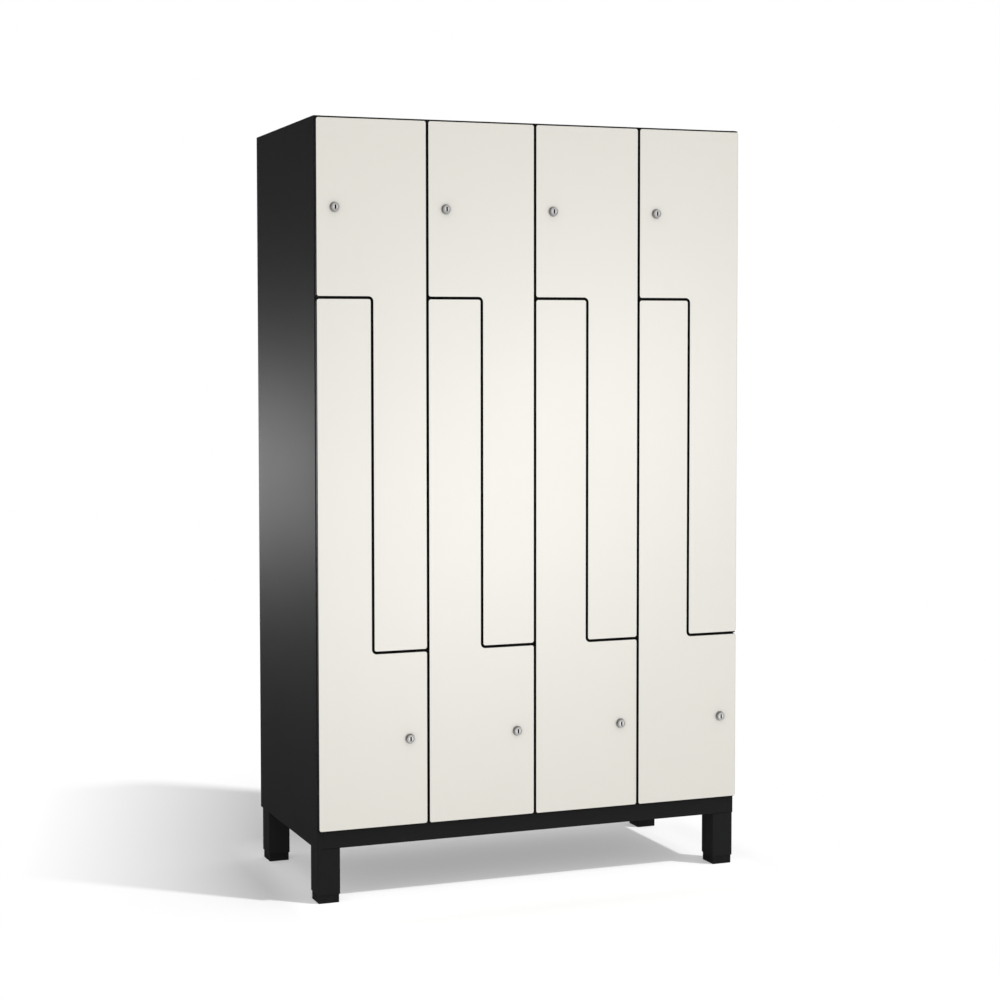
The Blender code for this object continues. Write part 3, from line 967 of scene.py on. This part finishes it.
def z_outline(left, right, middle, top, foot, half):
    """A z of one thickness: high shelf, upright, low shelf."""
    under = [(left, top - half), (middle - half, top - half), (middle - half, foot - half)]
    over = [(right, foot + half), (middle + half, foot + half), (middle + half, top + half)]
    return [*under, (right, foot - half), *over, (left, top + half)]


class LOCKER_OT_columns(bpy.types.Operator):
    """Folds the posts and partitions between columns and the z-shaped dividers in them"""

    bl_idname = "locker.columns"
    bl_label = "Columns"
    bl_options = {"REGISTER", "UNDO"}

    def execute(self, context):
        sizes = context.scene.locker_carcass
        for number in COLUMNS[:-1]:
            low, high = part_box(f"front_post_{number + 1}")
            path = [(low.x + sizes.flange / 2, high.y), (low.x, high.y), (low.x, low.y)]
            path += [(high.x, low.y), (high.x, high.y), (high.x - sizes.flange / 2, high.y)]
            post = bent_sheet(f"post_{number}", path, "Z", low.z, high.z, sizes.frame_sheet)
            fix_painted(post, f"front_post_{number + 1}")
            low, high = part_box(f"partition_{number}")
            path = [(low.x, high.y), (low.x, low.y)]
            wall = bent_sheet(f"wall_{number}", path, "Z", low.z, high.z, sizes.skin)
            fix_painted(wall, f"partition_{number}")
        for column in COLUMNS:
            make_divider(sizes, column)
        return {"FINISHED"}


def make_eased(node, width=0.0004):
    """A copy of a node of the model as clean faces with its sharp edges eased."""
    source = next(o for o in bpy.context.scene.objects if o.get("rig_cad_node") == node)
    shape = bmesh.new()
    shape.from_mesh(source.data)
    joined_points(shape)
    flat = math.radians(1)
    bmesh.ops.dissolve_limit(shape, angle_limit=flat, verts=shape.verts, edges=shape.edges)
    made = mesh_object(f"{node}_sharp", shape)
    modifier = made.modifiers.new("Ease", "BEVEL")
    modifier.width = width
    modifier.segments = 2
    modifier.limit_method = "ANGLE"
    modifier.angle_limit = math.radians(40)
    modifier.miter_outer = "MITER_ARC"
    fix_painted(coated(smooth(converted(made, f"{node}_eased")), "paint"), node)


class LOCKER_OT_pivots(bpy.types.Operator):
    """Eases the edges of the pivot rails and brackets and screws the brackets down"""

    bl_idname = "locker.pivots"
    bl_label = "Pivots"
    bl_options = {"REGISTER", "UNDO"}

    def execute(self, context):
        screw_in, bracket, radius = 0.005, 0.0023, 0.0026
        make_eased("top_pivot_rail")
        make_eased("bottom_pivot_rail")
        places = []
        for level in LEVELS:
            for column in COLUMNS:
                node = f"{level}_step_pivot_{column}"
                make_eased(node)
                low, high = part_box(node)
                leaf = low.z + screw_in if level == "upper" else high.z - screw_in
                places.append((((low.x + high.x) / 2, FRONT_Y - bracket, leaf), (0, -1, 0)))
        add_screws("bracket_screws", radius, "carcass", places)
        return {"FINISHED"}


def door_corners(column, radius=0.0065):
    """The corners of a column's upper door: wide above, narrow on the right below."""
    left, middle, right = column_span(column)
    low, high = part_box(f"upper_door_{column}")
    gap = door_gap()
    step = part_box(f"lower_door_{column}")[1].z + gap
    inner = middle + gap / 2
    wide = [(left, high.z, radius), (right, high.z, radius), (right, low.z, radius)]
    return [*wide, (inner, low.z, radius), (inner, step, radius + gap), (left, step, radius)]


def make_door(sizes, column, level):
    """A board with black edges, small chamfers and holes for the lock and the pivots."""
    lock_radius, pin_radius, pin_inset, pin_depth = 0.0098, 0.0029, 0.006, 0.0104
    node = f"{level}_door_{column}"
    low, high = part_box(node)
    corners = door_corners(column)
    if level == "lower":
        turn_x = 2 * column_span(column)[1]
        turn_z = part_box(f"upper_door_{column}")[1].z + low.z
        corners = [(turn_x - x, turn_z - z, radius) for x, z, radius in corners]
    outline = rounded(corners, sizes.corner_steps)
    board = layered(outline, chamfered(low.y, high.y, sizes.arris), "Y")
    made = mesh_object(f"{level}_board_{column}", board)
    hole = circle(lock_centre(column, level), lock_radius, 32)
    pin_x = high.x - pin_inset if level == "upper" else low.x + pin_inset
    bore = circle((pin_x, (low.y + high.y) / 2), pin_radius, 20)
    cutters = [
        prism(hole, low.y - PAST, high.y + PAST, "Y"),
        prism(bore, low.z - PAST, low.z + pin_depth, "Z"),
        prism(bore, high.z - pin_depth, high.z + PAST, "Z"),
    ]
    made = coated(cut_away(made, cutters), "face", "core")
    for polygon in made.data.polygons:
        polygon.material_index = 0 if abs(polygon.normal.y) > 0.99 else 1
    settle(smooth(made, 30), node, "door_laminate", node)


class LOCKER_OT_doors(bpy.types.Operator):
    """Cuts the eight l-shaped doors out of laminate board"""

    bl_idname = "locker.doors"
    bl_label = "Doors"
    bl_options = {"REGISTER", "UNDO"}

    def execute(self, context):
        sizes = context.scene.locker_doors
        for column in COLUMNS:
            for level in LEVELS:
                make_door(sizes, column, level)
        return {"FINISHED"}


def make_housing(sizes, column, level, centre):
    """The fixed head on its rosette, with a sleeve through the door."""
    node = f"{level}_lock_{column}"
    low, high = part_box(node)
    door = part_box(f"{level}_door_{column}")[0].y
    bore, mouth, lead_in, head = 0.0078, 0.0078 + 0.0007, 0.0004, 0.0108
    neck, shoulder, rim = door - 0.0021, door - 0.0019, door - 0.0013
    rosette, sleeve = (high.x - low.x) / 2, 0.0095
    profile = [(bore, low.y + lead_in), (mouth, low.y), (head, low.y), (head, neck)]
    profile += [(head + SEAM, shoulder), (rosette, rim), (rosette, door - SEAM)]
    profile += [(sleeve, door - SEAM), (sleeve, high.y), (bore, high.y)]
    shape = turned(eased(profile, sizes.edge_radius), centre, sizes.sides)
    body = f"{level}_door_{column}"
    # The head's face is plain nickel; its side and its rosette carry painted shade from its material.
    place_piece(f"{level}_lock_head_{column}", shape, "dark_nickel", body, "lock_nickel", node)


def make_nut(sizes, column, level, centre):
    """The nut and washer that clamp the lock to the door."""
    body = f"{level}_door_{column}"
    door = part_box(body)[1].y
    near, far, bore, rim = door + 0.0001, door + 0.0010, 0.0098, 0.0118
    washer = turned(eased([(bore, near), (rim, near), (rim, far), (bore, far)], 0.0002), centre, 40)
    place_piece(f"{level}_lock_washer_{column}", washer, "zinc", body, "lock_steel")
    start, ease, thread = door + 0.0011, 0.0008, 0.0096
    end = start + sizes.nut_thickness
    corners = circle(centre, sizes.nut_width / math.sqrt(3), 6)
    layers = [(start, ease / 2), (start + ease / 2, 0), (end - ease / 2, 0), (end, ease)]
    nut = mesh_object(f"{level}_lock_nut_{column}", layered(corners, layers, "Y"))
    hole = prism(circle(centre, thread, 32), start - PAST, end + PAST, "Y")
    settle(carved(nut, [hole], "zinc"), body, "lock_steel")


def make_core(sizes, column, level, centre):
    """The core that the key turns, with its slot."""
    node = f"{level}_cam_{column}"
    low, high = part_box(node)
    x, z = centre
    face, floor, end = low.y, low.y + 0.0005, high.y - 0.0005
    radius, dish, rim = 0.0074, 0.0060, 0.0064
    profile = [(0, floor), (dish, floor), (rim, face), (radius, face), (radius, end), (0, end)]
    core = turned(profile, centre, sizes.sides, "points")
    half, reach, depth, corner = 0.0021, 0.0056, 0.0060, 0.0005
    slot = rounded_rectangle((x - half, z - reach), (x + half, z + reach), corner, 3)
    cutter = prism(slot, face - PAST, face + depth, "Y")
    made = cut_away(mesh_object(f"{level}_core_{column}", core), [cutter])
    coated(made, "nickel", "keyhole")
    # The slot's inner faces get the near-black key slot material: painted shade in the slot.
    for polygon in made.data.polygons:
        spot = polygon.center
        inside = abs(spot.x - x) < half + 1e-4 and abs(spot.z - z) < reach + 1e-4
        polygon.material_index = 1 if inside and spot.y > floor + 1e-4 else 0
    settle(smooth(made), node, "lock_steel", node)


def make_cam(column, level, centre):
    """The flat cam, rounded at both ends, and the screw that holds it."""
    node = f"{level}_cam_{column}"
    low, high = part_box(node)
    x, z = centre
    half, thickness, ease, steps, screw = (high.x - low.x) / 2, 0.003, 0.0004, 16, 0.0036
    tip, back = low.z + half, high.y
    turns = [math.pi * step / steps for step in range(steps + 1)]
    outline = [(x + half * math.cos(t), z + half * math.sin(t)) for t in turns]
    outline += [(x - half * math.cos(t), tip - half * math.sin(t)) for t in turns]
    plate = layered(outline, chamfered(back - thickness, back, ease), "Y")
    place_piece(f"{level}_cam_plate_{column}", plate, "zinc", node, "lock_steel", node)
    add_screws(f"{level}_cam_screw_{column}", screw, node, [((x, back, z), (0, 1, 0))])


class LOCKER_OT_locks(bpy.types.Operator):
    """Turns the lock heads with their rosettes, nuts and washers, and the cams with their cores"""

    bl_idname = "locker.locks"
    bl_label = "Locks"
    bl_options = {"REGISTER", "UNDO"}

    def execute(self, context):
        sizes = context.scene.locker_locks
        for column in COLUMNS:
            for level in LEVELS:
                centre = lock_centre(column, level)
                make_housing(sizes, column, level, centre)
                make_nut(sizes, column, level, centre)
                make_core(sizes, column, level, centre)
                make_cam(column, level, centre)
        return {"FINISHED"}


def make_tube(sizes, corner):
    """A square tube, closed at the top."""
    low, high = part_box(f"foot_{corner}")
    radius, wall, ease = sizes.tube_corner, sizes.tube_wall, 0.0004
    outline = rounded_rectangle(low[:2], high[:2], radius)
    made = mesh_object(f"tube_{corner}", layered(outline, chamfered(low.z, high.z, ease), "Z"))
    inner_low, inner_high = (low.x + wall, low.y + wall), (high.x - wall, high.y - wall)
    hollow = rounded_rectangle(inner_low, inner_high, max(0.0006, radius - wall))
    made = carved(made, [prism(hollow, low.z - PAST, high.z - wall, "Z")])
    fix_painted(made, f"foot_{corner}")


def make_glide(sizes, corner):
    """A moulded shoe with a rounded sole and a stem up into the tube."""
    node = f"glide_{corner}"
    low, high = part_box(node)
    edge, radius, stem, ease, taper = sizes.glide_edge, 0.0022, 0.0013, 0.0004, 0.002
    sole = ((0, 1), (0.13, 0.5), (0.5, 0.13), (1, 0))
    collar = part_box(f"foot_{corner}")[0].z - SEAM
    layers = [(low.z + edge * rise, edge * inset) for rise, inset in sole]
    layers += [(collar - ease, 0), (collar, ease), (collar, stem)]
    layers += [(high.z - taper, stem), (high.z, stem + taper)]
    shoe = layered(rounded_rectangle(low[:2], high[:2], radius), layers, "Z")
    place_piece(f"{node}_shoe", shoe, "plastic", node, "glide_plastic", node)


class LOCKER_OT_feet(bpy.types.Operator):
    """Makes the square-tube feet and their glides"""

    bl_idname = "locker.feet"
    bl_label = "Feet"
    bl_options = {"REGISTER", "UNDO"}

    def execute(self, context):
        sizes = context.scene.locker_feet
        for end in ("front", "rear"):
            for hand in ("left", "right"):
                make_tube(sizes, f"{end}_{hand}")
                make_glide(sizes, f"{end}_{hand}")
        return {"FINISHED"}


def make_hook_plate(name, x, y, ceiling):
    """The plate under the ceiling."""
    half_x, half_y, radius, thickness, ease = 0.011, 0.024, 0.006, 0.002, 0.0004
    outline = rounded_rectangle((x - half_x, y - half_y), (x + half_x, y + half_y), radius)
    layers = [(ceiling - thickness, ease), (ceiling - thickness + ease, 0), (ceiling, 0)]
    place_piece(name, layered(outline, layers, "Z"), "zinc", "carcass", "lock_steel")


def make_hook_bar(sizes, name, x, y, ceiling):
    """A bar that hangs from the plate and forks into two upturned arms."""
    drop, reach = sizes.drop, sizes.reach
    curve = bpy.data.curves.new(name, "CURVE")
    curve.dimensions = "3D"
    curve.bevel_depth = sizes.wire / 2
    curve.bevel_resolution = 3
    curve.resolution_u = 8
    curve.use_fill_caps = True
    tip = drop * 0.45
    bend, bow = tip + 0.008, reach * 0.62
    path = [(-reach, tip), (-reach, bend), (-bow, drop), (0, drop * 0.86)]
    path += [(bow, drop), (reach, bend), (reach, tip)]
    stem = [(0, 0.001), (0, drop * 0.9)]
    for kind, points in (("NURBS", path), ("POLY", stem)):
        spline = curve.splines.new(kind)
        spline.points.add(len(points) - 1)
        for point, (across, down) in zip(spline.points, points):
            point.co = (x, y + across, ceiling - down, 1)
    curve.splines[0].use_endpoint_u = True
    curve.splines[0].order_u = 3
    made = converted(placed(f"{name}_curve", curve), name)
    reworked(made.data, joined_points)
    settle(smooth(coated(made, "zinc")), "carcass", "lock_steel")


class LOCKER_OT_hooks(bpy.types.Operator):
    """Hangs a double coat hook at the top of each narrow part"""

    bl_idname = "locker.hooks"
    bl_label = "Coat hooks"
    bl_options = {"REGISTER", "UNDO"}

    def execute(self, context):
        sizes = context.scene.locker_hooks
        hook_y, screw_reach, plate, radius = 0.02, 0.016, 0.0021, 0.0030
        under_roof, under_shelf = TOP_Z - 0.0017, 0.0158
        for column in COLUMNS:
            left, middle, right = column_span(column)
            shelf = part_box(f"z_divider_{column}")[1].z - under_shelf
            spots = {"upper": ((middle + right) / 2, under_roof), "lower": ((left + middle) / 2, shelf)}
            for level, (x, ceiling) in spots.items():
                make_hook_plate(f"{level}_hook_{column}_plate", x, hook_y, ceiling)
                make_hook_bar(sizes, f"{level}_hook_{column}_bar", x, hook_y, ceiling)
                near, far = hook_y - screw_reach, hook_y + screw_reach
                places = [((x, y, ceiling - plate), (0, 0, -1)) for y in (near, far)]
                add_screws(f"{level}_hook_screws_{column}", radius, "carcass", places)
        return {"FINISHED"}


def make_floor():
    """A wide pale floor, white to the camera, that keeps the locker's shadow close to it. To the camera it
    also glows, beside the locker and more under it, painted light that lifts the shadow, and it fades to
    plain white to the left and the right, painted light that fades the shadow out.
    """
    half = 30.0
    painted_glow_beside, painted_glow_under = 0.11, 0.33
    under_x, under_y = (0.68, 0.56), (0.45, 0.20)
    slope, shadow_end, right_end = 0.26, (-0.668, -1.348), (0.60, 0.74)
    shape = bmesh.new()
    corners = rectangle((-half, -half), (half, half))
    shape.faces.new([shape.verts.new((x, y, 0.0)) for x, y in corners])
    floor = mesh_object("studio_floor", shape)
    finish = Finish(bpy.data.materials.new("Pale floor"))
    spot = finish.axes(finish.place())
    matt = finish.node("ShaderNodeBsdfDiffuse", {"Color": (0.6, 0.6, 0.6, 1.0)})["BSDF"]
    # Painted light, to the camera only: a glow beside the locker and a stronger one under it, which lift
    # its shadow.
    under = finish.ramp(abs(spot["X"]), under_x) * finish.ramp(abs(spot["Y"]), under_y)
    painted_lift = finish.blend(under, finish.glow(painted_glow_beside), finish.glow(painted_glow_under))
    near = finish.node("ShaderNodeAddShader", {0: matt, 1: painted_lift})["Shader"]
    # Painted light: past the shadow's end on the left and to the right of the locker the floor fades to
    # plain white glow, fading the shadow out.
    away = finish.ramp(spot["X"] - spot["Y"] * slope, shadow_end)
    away = away + finish.ramp(spot["X"], right_end)
    seen = finish.node("ShaderNodeLightPath")["Is Camera Ray"]
    shader = finish.blend(seen, matt, finish.blend(away, near, finish.glow(1.0)))
    floor.data.materials.append(finish.end(shader))
    floor.visible_glossy = False
    return floor


def make_world(context, settings):
    """White to the camera; to polished surfaces, a studio that is bright in front.

    Behind the locker on the left it is dark, but for one long soft light near the floor.
    """
    soft_ends, mirror_ends, strip_start = (0.6, -0.6), (0.25, -0.75), (0.1, 0.4)
    strip_edge, strip_side = (0.068, 0.0), (0.45, 0.15)
    world = bpy.data.worlds.new("Studio")
    context.scene.world = world
    finish = Finish(world)
    path = finish.node("ShaderNodeLightPath")
    axes = finish.axes(finish.node("ShaderNodeTexCoord")["Generated"])

    def between(value, ends, low, high):
        return finish.ramp(value, ends, low, high, "SMOOTHSTEP")

    soft = between(axes["Y"], soft_ends, settings.rear_light, settings.front_light)
    soft = soft * (axes["Z"] * settings.from_above + 1)
    front = between(axes["Y"], mirror_ends, settings.rear_mirror, settings.front_mirror)
    front = front * (axes["X"] * settings.from_right - axes["Z"] * settings.from_below + 1)
    turn, drop = settings.sheen_turn, settings.sheen_drop
    across = axes["X"] * math.cos(turn) + axes["Y"] * math.sin(turn)
    strip = between(abs(axes["Z"] + math.sin(drop)), strip_edge, 0, settings.side_sheen)
    strip = strip * between(abs(across), strip_side, 0, 1) * between(axes["Y"], strip_start, 0, 1)
    soft, mirrored, white = (finish.glow(s, "Background") for s in (soft, front + strip, 1.0))
    seen = path["Is Camera Ray"] + path["Is Transmission Ray"]
    lit = finish.blend(path["Is Glossy Ray"], soft, mirrored)
    finish.end(finish.blend(seen, lit, white), "World")


def make_window(settings, floor):
    """A high light on the right that casts the locker's shadow on the floor, and lights only that."""
    lamp = bpy.data.lights.new("window", "SUN")
    lamp.energy = settings.window
    lamp.angle = math.radians(3)
    window = placed("window", lamp)
    turn, rise = settings.window_turn, settings.window_rise
    flat = Vector((math.cos(turn), -math.sin(turn), 0)) * math.cos(rise)
    towards = flat + Vector((0, 0, math.sin(rise)))
    window.rotation_euler = towards.to_track_quat("Z", "Y").to_euler()
    light_only(window, [floor])


def make_front_sheen(settings, boards):
    """A long lamp that the doors mirror softly, and only they."""
    lamp = bpy.data.lights.new("front_sheen", "AREA")
    lamp.shape = "RECTANGLE"
    lamp.size, lamp.size_y = 2.2, 0.85
    lamp.energy = settings.front_sheen
    sheen = placed("front_sheen", lamp)
    sheen.location = (1.61, -4.2, 0.78)
    away = sheen.location - Vector((0, FRONT_Y, TOP_Z / 2))
    tilt = Quaternion((0, 0, 1), settings.front_sheen_tilt)
    sheen.rotation_euler = (away.to_track_quat("Z", "Y") @ tilt).to_euler()
    sheen.visible_diffuse = False
    light_only(sheen, boards)


def make_camera(context, settings):
    """A camera to the left of the locker's middle, looking down a little, its lens shifted."""
    camera = bpy.data.cameras.new("camera")
    camera.lens = settings.lens
    camera.shift_x, camera.shift_y = settings.shift_x, settings.shift_y
    camera.clip_end = 100
    made = placed("camera", camera)
    made.location = settings.camera
    level = Euler((math.pi / 2 - settings.pitch, 0, -settings.yaw)).to_quaternion()
    made.rotation_euler = (level @ Quaternion((0, 0, 1), settings.roll)).to_euler()
    context.scene.camera = made


class LOCKER_OT_studio(bpy.types.Operator):
    """Sets up the pale floor, the lamps and the camera"""

    bl_idname = "locker.studio"
    bl_label = "Studio"
    bl_options = {"REGISTER", "UNDO"}

    def execute(self, context):
        settings = context.scene.locker_studio
        context.scene.view_settings.view_transform = "Standard"
        floor = make_floor()
        make_world(context, settings)
        make_window(settings, floor)
        boards = [o for o in context.scene.objects if "_board_" in o.name]
        make_front_sheen(settings, boards)
        make_camera(context, settings)
        return {"FINISHED"}


def light_only(lamp, receivers):
    """Lets a lamp light nothing but some objects."""
    lit = bpy.data.collections.new(f"Lit by {lamp.name}")
    for made in receivers:
        lit.objects.link(made)
    lamp.light_linking.receiver_collection = lit


STEPS = (
    LOCKER_OT_shell,
    LOCKER_OT_columns,
    LOCKER_OT_pivots,
    LOCKER_OT_doors,
    LOCKER_OT_locks,
    LOCKER_OT_feet,
    LOCKER_OT_hooks,
    LOCKER_OT_studio,
)


class LOCKER_PT_panel(bpy.types.Panel):
    """Lists the steps and their sizes"""

    bl_idname = "LOCKER_PT_panel"
    bl_label = "Z Locker"
    bl_space_type = "VIEW_3D"
    bl_region_type = "UI"
    bl_category = "Locker"

    def draw(self, context):
        for step in STEPS:
            self.layout.operator(step.bl_idname)
        for name, group in SETTINGS.items():
            box = self.layout.box()
            box.label(text=group.__doc__)
            for key in group.__annotations__:
                box.prop(getattr(context.scene, name), key)


def register():
    """Registers the settings, the operators and the panel."""
    for name, group in SETTINGS.items():
        bpy.utils.register_class(group)
        setattr(bpy.types.Scene, name, PointerProperty(type=group))
    for item in (*STEPS, LOCKER_PT_panel):
        bpy.utils.register_class(item)


def unregister():
    """Takes them out again."""
    for item in reversed((*STEPS, LOCKER_PT_panel)):
        bpy.utils.unregister_class(item)
    for name, group in reversed(SETTINGS.items()):
        delattr(bpy.types.Scene, name)
        bpy.utils.unregister_class(group)


def main():
    register()
    for step in STEPS:
        family, name = step.bl_idname.split(".")
        getattr(getattr(bpy.ops, family), name)()


if __name__ == "__main__":
    main()
